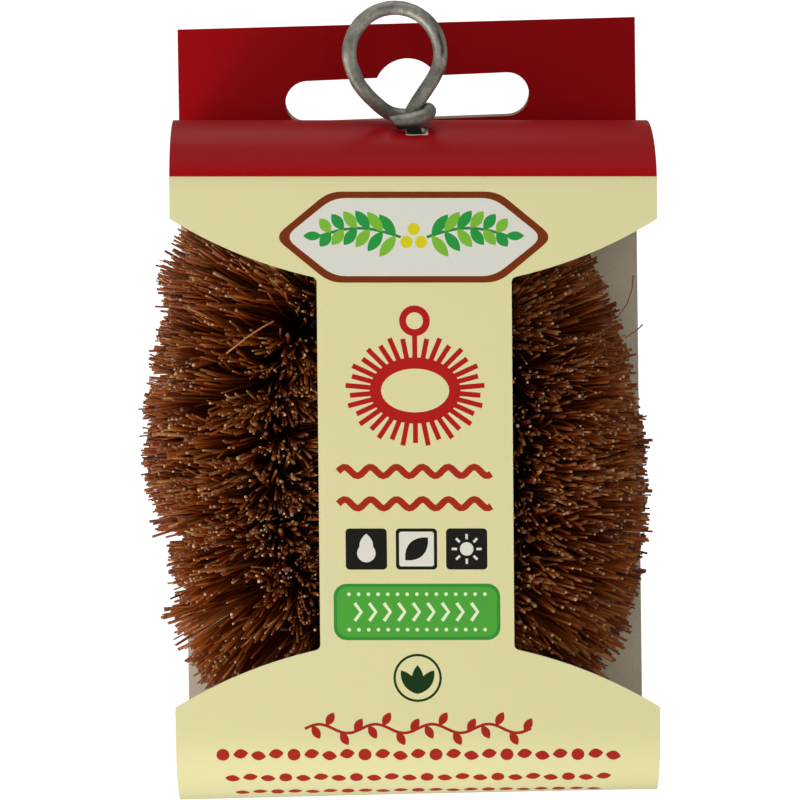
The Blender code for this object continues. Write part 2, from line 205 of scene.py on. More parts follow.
def stand_cove():
    """The cove's profile turned once round the upright axis. The camera sees its paper glow white."""
    r, z = cove_profile()
    round_angle = np.radians(np.arange(0, 360, 3.75))
    x = r[:, None] * np.cos(round_angle)
    y = r[:, None] * np.sin(round_angle)
    points = np.stack([x, y, np.broadcast_to(z[:, None] + COVE_FLOOR, x.shape)], -1).reshape(-1, 3)
    paper, shader = new_material("white_background_paper")
    feed(paper, shader, {"Base Color": rgba("F2F2F0"), "Roughness": 0.9, "Specular IOR Level": 0.1})
    seen = node(paper, "LightPath").outputs["Is Camera Ray"]
    glow = between(paper, seen, 0.08, 0.97)
    feed(paper, shader, {"Emission Color": rgba("FFFFFF"), "Emission Strength": glow})
    skin("cove", points, grid_triangles(len(r), len(round_angle), True), paper)


def soft_box(name, place, size, power):
    """A square lamp of a size in metres and a power in watts, turned to the middle of the pack."""
    lamp = bpy.data.lights.new(name, "AREA")
    lamp.size = size
    lamp.energy = power
    obj = bpy.data.objects.new(name, lamp)
    back = np.array(place) - AIM
    back /= np.linalg.norm(back)
    side = np.cross([0, 0, 1], back)
    side /= np.linalg.norm(side)
    facing = np.eye(4)
    facing[:3] = np.column_stack([side, np.cross(back, side), back, place])
    obj.matrix_world = Matrix(facing)
    bpy.context.scene.collection.objects.link(obj)
    return obj


stand_cove()
soft_box("left_soft_box", (-0.5, -0.6, -0.62), 0.45, 4.75)
soft_box("right_soft_box", (0.6, -0.65, -0.5), 0.45, 0.4)
soft_box("front_panel", (0, -0.6, -0.01), 0.15, 0.5).visible_glossy = False
soft_box("top_soft_box", (0, -0.2, 0.8), 0.7, 2.9)
soft_box("top_back_soft_box", (-0.15, 0.5, 0.72), 0.5, 0.85)
soft_box("left_panel", (-0.3, -0.08, -0.12), 0.2, 0.55)
soft_box("right_panel", (0.32, -0.2, -0.12), 0.2, 0.15)
world = bpy.data.worlds.new("studio")
world.use_nodes = True
world.node_tree.nodes["Background"].inputs["Color"].default_value = rgba("FFFFFF")
world.node_tree.nodes["Background"].inputs["Strength"].default_value = 0.08
bpy.context.scene.world = world

# Middle line of the card
# The coir stays within its curves, so they come first.

CREST_Z = -3.3 * MM
TOP_RISE = 8 * MM
TOP_BACK_FALL = 3.2 * MM
TOP_FLAT_Z = CREST_Z - TOP_RISE
FOOT_FLAT_Z = -79 * MM
BOTTOM_DROP = 8.9 * MM
BOTTOM_BACK_RISE = 4 * MM
CREASE_Z = FOOT_FLAT_Z - BOTTOM_DROP + BOTTOM_BACK_RISE
FRONT_Y = -36.125 * MM
LOWEST_Y = FRONT_Y + 11 * MM
HEADER_Y = -0.375 * MM
BACK_Y = 0.375 * MM
TOP_MIDDLE_Y, TOP_HALF_DEPTH = (HEADER_Y + FRONT_Y) / 2, (HEADER_Y - FRONT_Y) / 2


def card_top(y):
    """Height of the rounded top over a place y: a quarter ellipse in front of the crest, a parabola
    behind."""
    reach = (y - TOP_MIDDLE_Y) / TOP_HALF_DEPTH
    front = TOP_FLAT_Z + TOP_RISE * np.sqrt(np.clip(1 - reach**2, 0, None))
    return np.where(reach > 0, CREST_Z - TOP_BACK_FALL * reach**2, front)


def card_bottom(y):
    """Height of the rounded bottom under a place y: a quarter ellipse in front of the lowest line, a
    parabola behind it."""
    ahead = np.clip((LOWEST_Y - y) / (LOWEST_Y - FRONT_Y), 0, 1)
    behind = np.clip((y - LOWEST_Y) / (BACK_Y - LOWEST_Y), 0, None)
    return FOOT_FLAT_Z - BOTTOM_DROP * np.sqrt(1 - ahead**2) + BOTTOM_BACK_RISE * behind**2


# Galvanised wire
# One length of soft iron wire, dipped in zinc: grey, dull, with cloudy patches. Its two halves are twisted
# round each other with the coir between them. The end goes through the card, turns into the eye, and is
# wound once round its own neck, where it was snipped off.

WIRE = 1.8 * MM
WIRE_SIDES = 36
CORE_END = np.array([-3.62, -17.88, -15.2]) * MM  # where the twisted pair leaves off
NECK = np.array([0.47, -26.65, -4.01]) * MM  # on top of the card
EYE_RADIUS = 5.7 * MM
EYE_SHIFT = -2.2 * MM
EYE_RISE = 9.15 * MM
WRAP_RADIUS = 2.2 * MM
UNEVENNESS = 0.03  # of the wire's radius
SNIP_SLANT = 1.3  # lengthwise, of the wire's width
SNIP_PINCH = 0.55  # the last ring's width, of the wire's own
CRACK_RADIUS = 5.95 * MM  # from the eye's middle, on the side towards +X
CRACK_ANGLES = np.radians([-8, 30])  # from where to where round the eye
CRACK_BREADTH = 0.24 * MM
ZINC_CLOUD = 2.2 * MM
ZINC_GRAIN = 0.35 * MM


def zinc():
    """Hot-dipped zinc on iron wire: a soft, uneven sheen, with paler clouds and a few dark rubs."""
    material, shader = new_material("galvanised_wire")
    place = node(material, "TexCoord").outputs["Object"]
    cloud = noise(material, place, 1 / ZINC_CLOUD, 4, 0.6)
    grain = noise(material, place, 1 / ZINC_GRAIN, 3, 0.7)
    patches = ramp(material, cloud, [(0.3, "72726A"), (0.5, "96968A"), (0.72, "BAB6A6")])
    rubs = ramp(material, grain, [(0.3, "B0ACA4"), (0.55, "FFFFFF")])
    colour = mix(material, 0.5, patches, rubs, "MULTIPLY")
    # The attribute dark holds the crack and the painted shade on the wire inside the pack.
    dark = node(material, "Attribute", attribute_name="dark").outputs["Fac"]
    darkened = mix(material, dark, colour, rgba("2A2622"))
    dull = between(material, cloud, 0.36, 0.56)
    rough = roughened(material, grain, 0.35, 0.05 * MM)
    feed(material, shader, {"Base Color": darkened, "Roughness": dull, "Normal": rough, "Metallic": 0.5})
    return material


def smooth_line(knots, step):
    """Points on the Catmull-Rom curve through the knots: between two of them a cubic in t, whose slope at a
    knot is half the way between its neighbours."""
    padded = np.concatenate([[2 * knots[0] - knots[1]], knots, [2 * knots[-1] - knots[-2]]])
    p0, p1, p2, p3 = padded[:-3], padded[1:-2], padded[2:-1], padded[3:]
    count = max(2, int(np.linalg.norm(p2 - p1, axis=1).max() / step))
    t = (np.arange(count) / count)[None, :, None]
    p0, p1, p2, p3 = (p[:, None, :] for p in (p0, p1, p2, p3))
    curve = 0.5 * (
        2 * p1
        + (p2 - p0) * t
        + (2 * p0 - 5 * p1 + 4 * p2 - p3) * t**2
        + (3 * p1 - p0 - 3 * p2 + p3) * t**3
    )
    return np.concatenate([curve.reshape(-1, 3), knots[-1:]])


def eye_route():
    """Up from the core through the hole, round the eye, and once round the neck to the snipped end. A
    ring's reach is its share of the eye's radius, and a height is above the card at the neck."""
    seat = WIRE / 2 + 0.3 * MM  # the wire's middle, where it lies on the card

    def ring(degrees, reach=1.0, back=0.0):
        a = np.radians(degrees)
        r = reach * EYE_RADIUS
        return NECK + [EYE_SHIFT + r * np.cos(a), back, EYE_RISE + r * np.sin(a)]

    def wrap(degrees, height, radius=WRAP_RADIUS):
        a = np.radians(degrees)
        return NECK + [radius * np.cos(a), radius * np.sin(a), height]

    rise = [
        CORE_END,
        CORE_END + [0, 0, 0.7 * WIRE],
        CORE_END + [0, 0, 1.4 * WIRE],
        NECK - [0, 0, 2 * WIRE],
        NECK,
        NECK + [-0.14 * WIRE, 0, 1.4 * seat],
    ]
    loop = [ring(a) for a in range(-31, 210, 24)]
    loop += [ring(223, 1.04, 0.1 * WIRE), ring(243, 1.12, 0.55 * WIRE), ring(263, 1.29, 1.05 * WIRE)]
    turns = [
        wrap(112, seat + 0.1 * WIRE),
        wrap(78, seat + 0.25 * WIRE),
        wrap(40, seat + 0.5 * WIRE, 0.95 * WRAP_RADIUS),
        wrap(4, seat + 0.4 * WIRE, 0.9 * WRAP_RADIUS),
        wrap(-35, seat + 0.1 * WIRE, 0.9 * WRAP_RADIUS),
        wrap(-75, seat - 0.1 * WIRE, 0.95 * WRAP_RADIUS),
        wrap(-115, seat - 0.3 * WIRE, 1.05 * WRAP_RADIUS),
        wrap(-144, seat - 0.4 * WIRE, 1.3 * WRAP_RADIUS),
    ]
    return smooth_line(np.array(rise + loop + turns), 0.35 * MM)


def carried_frames(line):
    """Unit tangents of a line, and two directions square to each, carried along it with the least turning:
    each step takes away the part of the last direction that lies along the new tangent."""
    tangents = np.gradient(line, axis=0)
    tangents /= np.linalg.norm(tangents, axis=1)[:, None]
    across = np.cross(tangents[0], [0, 1, 0])
    firsts = []
    for tangent in tangents:
        across = across - tangent * (across @ tangent)
        across = across / np.linalg.norm(across)
        firsts.append(across)
    firsts = np.array(firsts)
    return tangents, firsts, np.cross(tangents, firsts)


def wire_skin(name, line, material, rng):
    """A round wire: a circle carried along the line, a little uneven, with its last rings slanted and the
    very last one pinched by the snip."""
    tangents, first, second = carried_frames(line)
    turn = 2 * np.pi * np.arange(WIRE_SIDES) / WIRE_SIDES
    uneven = np.convolve(rng.normal(0, 1, len(line) + 8), np.ones(9) / 9, "valid")
    radius = WIRE / 2 * (1 + UNEVENNESS * uneven)[:, None, None]
    circle = first[:, None] * np.cos(turn)[:, None] + second[:, None] * np.sin(turn)[:, None]
    points = line[:, None] + circle * radius
    slant = np.exp(-np.arange(len(line))[::-1] / 2.0)[:, None, None]
    points += tangents[:, None] * (np.cos(turn)[:, None] * slant * SNIP_SLANT * WIRE / 2)
    points[-1] = points[-1].mean(0) + (points[-1] - points[-1].mean(0)) * SNIP_PINCH
    rows = points.reshape(-1, 3)
    ends = np.stack([points[0].mean(0), points[-1].mean(0)])
    last = len(rows)
    j = np.arange(WIRE_SIDES)
    following = (j + 1) % WIRE_SIDES
    start_cap = np.stack([following, j, np.full_like(j, last)], -1)
    base = last - WIRE_SIDES
    end_cap = np.stack([base + j, base + following, np.full_like(j, last + 1)], -1)
    triangles = np.concatenate([grid_triangles(len(line), WIRE_SIDES, True), start_cap, end_cap])
    return skin(name, np.concatenate([rows, ends]), triangles, material)


def darkness(points):
    """How dark the wire is at each point, from 0 to 1: in the crack down one side of the eye, a bell curve
    across it, and painted shade on the wire below the top of the card, inside the pack."""
    away = points - NECK - [EYE_SHIFT, 0, EYE_RISE]
    angle = np.arctan2(away[:, 2], away[:, 0])
    from_line = (np.hypot(away[:, 0], away[:, 2]) - CRACK_RADIUS) / CRACK_BREADTH
    from_ends = np.clip(np.minimum(angle - CRACK_ANGLES[0], CRACK_ANGLES[1] - angle) / 0.15, 0, 1)
    crack = np.exp(-(from_line**2)) * from_ends * (away[:, 1] < 0)
    # painted shade: the wire darkens as it goes down into the pack
    within = np.clip((NECK[2] + 0.5 * MM - points[:, 2]) / (0.6 * MM), 0, 0.9)
    return np.maximum(crack, within)


galvanised = zinc()
eye = wire_skin("eye_of_wire", eye_route(), galvanised, np.random.default_rng(3))
places = np.empty(3 * len(eye.data.vertices))
eye.data.vertices.foreach_get("co", places)
attribute(eye, "dark", "FLOAT", "POINT", "value", darkness(places.reshape(-1, 3)))
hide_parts("eye_wire")
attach(eye, "brush_and_front")
# The twisted pair among the fibres is coloured a dark brown grey, rougher than the zinc of the eye.
dark_core_wire, dark_core_shader = new_material("wire_among_the_fibres")
feed(dark_core_wire, dark_core_shader, {"Base Color": rgba("4A4038"), "Roughness": 0.8})
for name in ("core_wire_a", "core_wire_b"):
    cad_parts[name].data.materials.clear()
    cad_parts[name].data.materials.append(dark_core_wire)

# Coir
# Fibre from the husk of the coconut, laid across the wires and caught as they were twisted, then trimmed
# to a round brush. Stiff, reddish brown strands with pale cut ends, painted darker towards the core as
# painted shade deep in the brush. Each half twist of the wire holds one fan. Most strands cling together in
# locks.

BRUSH = np.array([-2.4, -17.875, -46.3]) * MM
CORE_RADIUS = 15 * MM
CORE_STRAIGHT = 14 * MM
FIRST_FIBRE = np.radians(20) * CORE_RADIUS
OVAL = 2 * np.pi * CORE_RADIUS + 2 * CORE_STRAIGHT
FIBRE_REACH = 17.2 * MM
FANS = 18
LOCKS = 104  # in a fan
LOCK_STRANDS = 10
LOOSE_STRANDS = 400
STRANDS = LOCKS * LOCK_STRANDS + LOOSE_STRANDS
STRAND_RADIUS = 0.18 * MM
STRAND_SIDES = 5
COARSER = 1.1  # on the right side, where the fibres cling in thicker bundles
STRAND_STATIONS = (0, 0.4, 0.75, 1)  # of its rings, from root to tip
PARTING = 7 * MM  # from one parting in the coir to the next
SPREAD = 0.74  # radians, of the locks about the direction that the twist gives them
LOCK_SPREAD = 0.024  # radians, of the strands in a lock, about their direction round the core
LOCK_LEAN = 0.022  # radians, of the strands in a lock, along the core
LOCK_WIDTH = 0.24 * MM  # at its root
PARTING_LEAN = 0.08  # radians, of the strands to both sides of a parting
LOOSE_LEAN = 0.1  # radians, of each lock and each loose strand
DROOP_LENGTH = 18 * MM  # along the core from both its ends, where the strands lean back over the gap
DROOP_LEAN = (0.1, 0.75)  # radians
ROOT_REACH = (1.0, 2.6)  # millimetres, from the core's middle line to a strand's root
UNTRIMMED = 1.0 * MM  # by which locks fall short of the trim
LOCK_UNTRIMMED = 0.15 * MM  # by which the strands of a lock differ
BOW, HOOK = 0.3 * MM, 0.28 * MM
THICKNESS_SPREAD = 0.28  # of the natural logarithm of a strand's radius
TAPER = 0.2  # of its radius, from root to tip
TONE, TONE_SPREAD, LOCK_TONE_SPREAD = 0.5, 0.19, 0.15  # on the coir's scale of colours
PALE_SHARE = 0.03  # of the strands
UNDER_TOP, OVER_BOTTOM = 0.6 * MM, 0.5 * MM  # from the middle line of the card to the strands' own
PRESSED = 0.2  # radians at most, by which the card turns the strands away from its front and its back
TRIMS = [  # along the oval: where, how far each way, and how much longer the brush was left there
    (10.5, 4.4, 3.8),
    (16.5, 2.5, -1.0),
    (21.6, 2.2, -0.5),
    (37.9, 1.6, -3.8),
    (41.8, 2.6, -2.4),
    (46.0, 2.6, 1.4),
    (74.2, 3.8, 2.3),
    (81.5, 3.0, 0.4),
    (103.5, 6.0, -1.4),
]
STRAYS = {  # fan: both ends of a long loose hair and the middle of its bow, in millimetres
    3: ((-23.2, -35.4, -31.7), (-17.3, -35.6, -27.8), (0.2, 0, 0.4)),
    14: ((27.3, -16.0, -31.3), (29.7, -14.0, -29.7), (0.1, 0, -0.1)),
    15: ((26.4, -14.0, -28.8), (28.9, -9.0, -23.5), (0.5, 0, -0.4)),
}
INSIDE_FRONT, INSIDE_BACK = -35.7 * MM, -0.15 * MM  # where the strands meet the card


def coir():
    """Coir: dry, woody strands with a faint waxy sheen. The attribute strand holds a strand's tone, how far
    along it a point lies, and a random number."""
    material, shader = new_material("coir_fibre")
    strand = node(material, "Attribute", attribute_name="strand")
    part = node(material, "SeparateColor", {"Color": strand.outputs["Color"]})
    tones = [(0.0, "461602"), (0.35, "8A3E0C"), (0.75, "B26018"), (1.0, "D0965C")]
    tone = ramp(material, part.outputs["Red"], tones)
    # painted shade: strands darken towards their roots, deep in the brush, and lighten towards their tips
    depth_shade = ramp(material, part.outputs["Green"], [(0.0, "6E5040"), (0.5, "B09684"), (0.95, "DED4CA")])
    colour = mix(material, 1.0, tone, depth_shade, "MULTIPLY")
    cut = node(material, "MapRange", {"Value": part.outputs["Green"], "From Min": 0.985})
    few = node(material, "Math", {0: part.outputs["Blue"], 1: 5.0}, operation="POWER")
    pale = mix(material, few.outputs["Value"], rgba("6E4420"), rgba("DAB286"))
    ended = mix(material, cut.outputs["Result"], colour, pale)
    feed(material, shader, {"Base Color": ended, "Roughness": 0.4, "Specular IOR Level": 0.2})
    return material


def core_oval(s):
    """Place (x, z) and outward direction at the length s along the core from its top, down the -X side
    first: a quarter circle, a straight, a quarter circle, and the same mirrored."""
    quarter = np.pi * CORE_RADIUS / 2
    side = np.where(s > OVAL / 2, -1.0, 1.0)
    s = np.where(s > OVAL / 2, OVAL - s, s)
    turn = np.clip(s, 0, quarter) + np.clip(s - quarter - CORE_STRAIGHT, 0, None)
    level = CORE_STRAIGHT / 2 - np.clip(s - quarter, 0, CORE_STRAIGHT)
    a = turn / CORE_RADIUS
    out = np.stack([-np.sin(a), np.cos(a)], -1)
    place = np.stack([np.zeros_like(s), level], -1) + out * CORE_RADIUS
    return place * np.stack([side, np.ones_like(s)], -1), out * np.stack([side, np.ones_like(s)], -1)


def strand_fan(rng, first, last):
    """Points (strand, ring, side, 3) and the strand attribute of one fan of coir. The wires turn a half
    turn from the fan's first strands to its last, and carry the strands round with them, to both sides. A
    strand runs from near the core to its reach, straight but for a bow, 4 t (1 - t), and a hooked tip,
    t cubed. The trims lengthen or shorten it by a bell curve along the oval. It stays inside the card."""

    def shared(draw, spread):
        """One number for each lock and each loose strand, with the strands of a lock a little apart."""
        together = np.repeat(draw(LOCKS), LOCK_STRANDS) + rng.normal(0, spread, LOCKS * LOCK_STRANDS)
        return np.concatenate([together, draw(LOOSE_STRANDS)])

    s = np.clip(shared(lambda n: rng.uniform(first, last, n), LOCK_WIDTH), FIRST_FIBRE, OVAL - FIRST_FIBRE)
    around = np.pi * (s - first) / (last - first) + shared(lambda n: np.pi * rng.integers(0, 2, n), 0)
    around += shared(lambda n: rng.normal(0, SPREAD, n), LOCK_SPREAD)
    around -= PRESSED * np.sin(2 * around)
    lean = PARTING_LEAN * np.sin(2 * np.pi * s / PARTING + 2.1 * np.sin(3 * around))
    lean += shared(lambda n: rng.normal(0, LOOSE_LEAN, n), LOCK_LEAN)
    from_start = (s - FIRST_FIBRE) / DROOP_LENGTH
    from_end = (OVAL - FIRST_FIBRE - s) / DROOP_LENGTH
    drooping = np.clip(1 - from_start, 0, 1) - np.clip(1 - from_end, 0, 1)
    droop = shared(lambda n: rng.uniform(*DROOP_LEAN, n), 0)
    lean += droop * drooping * np.clip(np.cos(around), 0, 1)
    centre, out = core_oval(s)
    zeros = np.zeros(STRANDS)
    middle = BRUSH + np.stack([centre[:, 0], zeros, centre[:, 1]], -1)
    outward = np.stack([out[:, 0], zeros, out[:, 1]], -1)
    along = np.stack([-out[:, 1], zeros, out[:, 0]], -1)
    radial = outward * np.cos(around)[:, None] + np.array([0, 1, 0]) * np.sin(around)[:, None]
    direction = radial * np.cos(lean)[:, None] + along * np.sin(lean)[:, None]
    inwards = np.clip(-np.cos(around), 1e-3, None)
    reach = np.minimum(FIBRE_REACH, (CORE_RADIUS - 0.3 * MM) / inwards)
    reach -= shared(lambda n: np.abs(rng.normal(0, UNTRIMMED, n)), LOCK_UNTRIMMED)
    for place, breadth, longer in TRIMS:
        near = np.exp(-(((s / MM - place) / breadth) ** 2))
        reach += longer * MM * near * np.clip(np.cos(around), 0, 1)
    root = middle + radial * rng.uniform(*ROOT_REACH, STRANDS)[:, None] * MM
    tip = middle + direction * reach[:, None]
    t = np.array(STRAND_STATIONS)[None, :, None]
    bow = rng.normal(0, 1, (STRANDS, 1, 3)) * BOW
    hook = rng.normal(0, 1, (STRANDS, 1, 3)) * HOOK
    line = root[:, None] + (tip - root)[:, None] * t + bow * 4 * t * (1 - t) + hook * t**3
    line[..., 1] = np.clip(line[..., 1], INSIDE_FRONT, INSIDE_BACK)
    line[..., 2] = np.minimum(line[..., 2], card_top(line[..., 1]) - UNDER_TOP)
    line[..., 2] = np.maximum(line[..., 2], card_bottom(line[..., 1]) + OVER_BOTTOM)
    first_side = np.cross(direction, rng.normal(0, 1, (STRANDS, 3)))
    first_side /= np.linalg.norm(first_side, axis=1)[:, None]
    second_side = np.cross(direction, first_side)
    thick = STRAND_RADIUS * np.exp(rng.normal(0, THICKNESS_SPREAD, STRANDS))
    thick = (thick * np.where(s > OVAL / 2, COARSER, 1))[:, None, None, None]
    taper = (1 - TAPER * t[..., 0])[..., None, None]
    turn = 2 * np.pi * np.arange(STRAND_SIDES) / STRAND_SIDES
    ring = first_side[:, None, None] * np.cos(turn)[:, None]
    ring += second_side[:, None, None] * np.sin(turn)[:, None]
    points = line[:, :, None] + ring * thick * taper
    tone = shared(lambda n: rng.normal(TONE, TONE_SPREAD, n), LOCK_TONE_SPREAD)
    tone += 0.5 * (rng.random(STRANDS) > 1 - PALE_SHARE)
    strand = np.empty((*points.shape[:3], 4))
    strand[..., 0] = np.clip(tone, 0, 1)[:, None, None]
    strand[..., 1] = t[..., 0, None]
    strand[..., 2] = rng.random(STRANDS)[:, None, None]
    strand[..., 3] = 1
    return points, strand


def stray(points, strand, start, end, bow):
    """Makes a fan's first strand a thin pale hair that has worked loose and lies across the others."""
    start, end, bow = (np.array(place) * MM for place in (start, end, bow))
    t = np.array(STRAND_STATIONS)[:, None]
    line = start + (end - start) * t + bow * 4 * t * (1 - t)
    heading = (end - start) / np.linalg.norm(end - start)
    first = np.cross(heading, [0, 1, 0])
    second = np.cross(heading, first)
    turn = 2 * np.pi * np.arange(STRAND_SIDES)[:, None] / STRAND_SIDES
    points[0] = line[:, None] + (first * np.cos(turn) + second * np.sin(turn)) * STRAND_RADIUS * 0.65
    strand[0] = [0.95, 0.9, 0.5, 1]


def strand_triangles():
    """Triangles of a fan of strands, each closed at both ends."""
    rings = len(STRAND_STATIONS)
    far = np.arange(2, STRAND_SIDES)
    end = np.stack([np.zeros_like(far), far - 1, far], -1)
    last = STRAND_SIDES * (rings - 1)
    one = np.concatenate([grid_triangles(rings, STRAND_SIDES, True), end[:, ::-1], end + last])
    return (one[None] + (np.arange(STRANDS) * STRAND_SIDES * rings)[:, None, None]).reshape(-1, 3)


husk = coir()
fan_length = (OVAL - 2 * FIRST_FIBRE) / FANS
for number in range(FANS):
    start = FIRST_FIBRE + number * fan_length
    points, strand = strand_fan(np.random.default_rng(100 + number), start, start + fan_length)
    if number in STRAYS:
        stray(points, strand, *STRAYS[number])
    fan = skin(f"coir_fibres_{number + 1:02d}", points.reshape(-1, 3), strand_triangles(), husk)
    attribute(fan, "strand", "FLOAT_COLOR", "POINT", "color", strand)
    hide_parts(f"coir_fan_{number + 1:02d}")
    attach(fan, "brush_and_front")

# Card sleeve
# One strip of coated board, printed on its outer side, punched, and folded round the brush. From the front
# layer of the header it bends forward over the brush, comes down as a waisted panel, and turns back under
# it to a crease, where the back panel begins. It has settled a little askew.

CARD = 0.45 * MM
SLEEVE_HALF = 30 * MM
HEADER_TOP = 9.85 * MM
STRIP_HALF = 12 * MM
STRIP_TOP_Z = -22.7 * MM
STRIP_FOOT_Z = -68.65 * MM
WAIST_RADIUS = 57 * MM
WAIST_FILLET = 0.6 * MM
SLOT_HALF = 16 * MM
SLOT_HEIGHT = 5.7 * MM
BUMP_RADIUS = 4.35 * MM
BUMP_RISE = 2.4 * MM
SLOT_MISMATCH = 0.4 * MM
HOLE_RADIUS = 1.35 * MM
FOLD_REACH = 0.9 * MM  # of the header's fold, each way from its corner
CREASE_REACH = 1.3 * MM  # of the crease's own strip of card, each way from the corner
MESH_STEP = 1.2 * MM
SETTLE_MIDDLE = -38 * MM
FRONT_TILT, FOOT_TILT, BACK_TILT = -0.9, 1.5, 0.7  # degrees off level: front, middle of the foot, back
FRONT_LEAN, BACK_LEAN = -0.4, -0.1  # degrees off upright
DENT, DENT_BREADTH = 0.45 * MM, 2.6 * MM
RED_FOOT = -10.3 * MM
# Over the header's front layer the red is printed a little deeper, as painted shade.
SHADED_HEADER_LENGTH = 16 * MM  # of the front layer, where the red is a little deeper
RED, SHADED_HEADER_RED, CREAM = "AE0B14", "9E0810", "E4DDA6"
CORE_PAPER, RAW_BOARD = "EDE6D8", "C6BAA4"
BACK_RED_FOOT = -11 * MM

# Places of the print on the flat card, in millimetres, and its inks
PLAQUE_Z = -17.7
BRUSH_SIGN_Z, BRUSH_EYE_Z = -36.6, -28.0
RULES_Z = (-46.6, -50.6)
CARE_Z, CARE_STEP = -56.2, 6.2
BAND_Z = -64.0
RING_Z = -72.2
GARLAND_Z = -78.5
DOT_ROWS_Z = (-81.8, -85.5, -89.2)
RIM_BROWN, PLAQUE_WHITE, BERRY_YELLOW = "793414", "E0DED2", "DCCF1C"
STEM_GREEN, LEAF_GREEN, LEAF_LIME, RING_GREEN = "2C8A3C", "2B9842", "7DBB3A", "1E3A1C"
SIGN_RED, RULE_RED, BORDER_RED = "B51F1B", "A92E1E", "A92A1F"
CARE_BLACK, CARE_WHITE = "201F1A", "E4E1D4"
BAND_RIM, BAND_GREEN, BAND_PALE = "37913A", "52A73E", "E8F4C8"


def quadratic(start, corner, end, count):
    """Points on the quadratic curve that leaves its start towards a corner, and comes to its end from it."""
    t = np.linspace(0, 1, count)[:, None]
    return start * (1 - t) ** 2 + corner * 2 * t * (1 - t) + end * t**2


def wrap_line():
    """The middle of the card's thickness as (y, z): down the header, round its fold, forward over the top,
    down the front, and back under the brush, to just short of the crease."""
    a = np.linspace(0, np.pi, 181)
    top_y = TOP_MIDDLE_Y + TOP_HALF_DEPTH * np.cos(a)
    top = np.stack([top_y, card_top(top_y)], -1)
    front_y = LOWEST_Y - (LOWEST_Y - FRONT_Y) * np.cos(a[:91])
    back_y = np.linspace(LOWEST_Y, crease_corner()[0, 0], 60)[1:]
    bottom_y = np.concatenate([front_y, back_y])
    bottom = np.stack([bottom_y, card_bottom(bottom_y)], -1)
    fold = np.array([HEADER_Y, card_top(np.array(HEADER_Y))])
    above = fold + [0, FOLD_REACH]
    beyond = np.array([HEADER_Y - FOLD_REACH, card_top(np.array(HEADER_Y - FOLD_REACH))])
    rounded = quadratic(above, fold, beyond, 12)
    ahead_of_fold = top[:, 0] < beyond[0] - 0.1 * MM
    header = np.array([[HEADER_Y, HEADER_TOP]])
    return np.concatenate([header, rounded, top[ahead_of_fold], bottom])


def crease_corner():
    """The crease's middle line: from the wrap's end straight towards the sharp corner, round it by a
    quadratic curve, and up to the back panel's end."""
    y = BACK_Y - CREASE_REACH
    start = np.array([y, card_bottom(np.array(y))])
    corner = np.array([BACK_Y, CREASE_Z])
    end = corner + [0, CREASE_REACH]
    near_start, near_end = corner + (start - corner) * 0.35, corner + (end - corner) * 0.35
    return np.concatenate([[start], quadratic(near_start, corner, near_end, 9), [end]])


def settle(points):
    """The pack hangs a little askew. Each layer is sheared by its own small angles, one for its level lines
    and one for its upright ones. Both change from the front to the back, the level ones by smooth steps,
    3 t squared - 2 t cubed, in the front half and in the back half."""
    share = np.clip((points[:, 1] - FRONT_Y) / (BACK_Y - FRONT_Y), 0, 1)
    ahead, behind = np.clip(2 * share, 0, 1), np.clip(2 * share - 1, 0, 1)
    ahead, behind = ahead**2 * (3 - 2 * ahead), behind**2 * (3 - 2 * behind)
    x, z = points[:, 0], points[:, 2] - SETTLE_MIDDLE
    over = FRONT_TILT + (BACK_TILT - FRONT_TILT) * behind
    under = FRONT_TILT + (FOOT_TILT - FRONT_TILT) * ahead + (BACK_TILT - FOOT_TILT) * behind
    level = np.radians(np.where(z > 0, over, under))
    upright = np.radians(FRONT_LEAN + (BACK_LEAN - FRONT_LEAN) * share)
    return np.stack([x - z * np.sin(upright), points[:, 1], points[:, 2] + x * np.sin(level)], -1)


def dent(points):
    """The card is pressed in round the neck: a bell curve of the distance from it, on the rounded top."""
    away = ((points[:, :2] - NECK[:2]) ** 2).sum(1) / DENT_BREADTH**2
    on_top = points[:, 2] > TOP_FLAT_Z
    return points - np.stack([0 * away, 0 * away, on_top * DENT * np.exp(-away)], -1)


def running_length(line):
    """The way along a line to each of its points."""
    return np.concatenate([[0], np.cumsum(np.linalg.norm(np.diff(line, axis=0), axis=1))])


def folded(line, flat, offset):
    """Puts flat card, as (x, height) points, on a line bent in the YZ plane. The height is the way back
    along the line from its panel's start, and the offset lifts a point off the middle to the printed
    side."""
    lengths = running_length(line)

    def at(way):
        return np.stack([np.interp(way, lengths, line[:, k]) for k in (0, 1)], -1)

    along = height_zero(line) - flat[:, 1]
    place = at(along)
    heading = at(along + 0.15 * MM) - at(along - 0.15 * MM)
    heading /= np.linalg.norm(heading, axis=1)[:, None]
    y = place[:, 0] + heading[:, 1] * offset
    z = place[:, 1] - heading[:, 0] * offset
    return dent(settle(np.stack([flat[:, 0], y, z], -1)))


def height_zero(line):
    """The length along a line that has height 0 on the flat card, so that a height on a panel is its z."""
    panel = np.argmin(np.abs(line[:, 1] - TOP_FLAT_Z) + np.abs(line[:, 0] - line[:, 0].min()))
    return running_length(line)[panel] + line[panel, 1]


def arc(x, z, radius_x, radius_z, start, end, count):
    """Points on an ellipse about (x, z), from one angle to another in degrees."""
    a = np.radians(np.linspace(start, end, count))
    return np.stack([x + radius_x * np.cos(a), z + radius_z * np.sin(a)], -1)


def turned(points, degrees):
    """Flat points turned about the origin, anticlockwise."""
    a = np.radians(degrees)
    return points @ np.array([[np.cos(a), np.sin(a)], [-np.sin(a), np.cos(a)]])


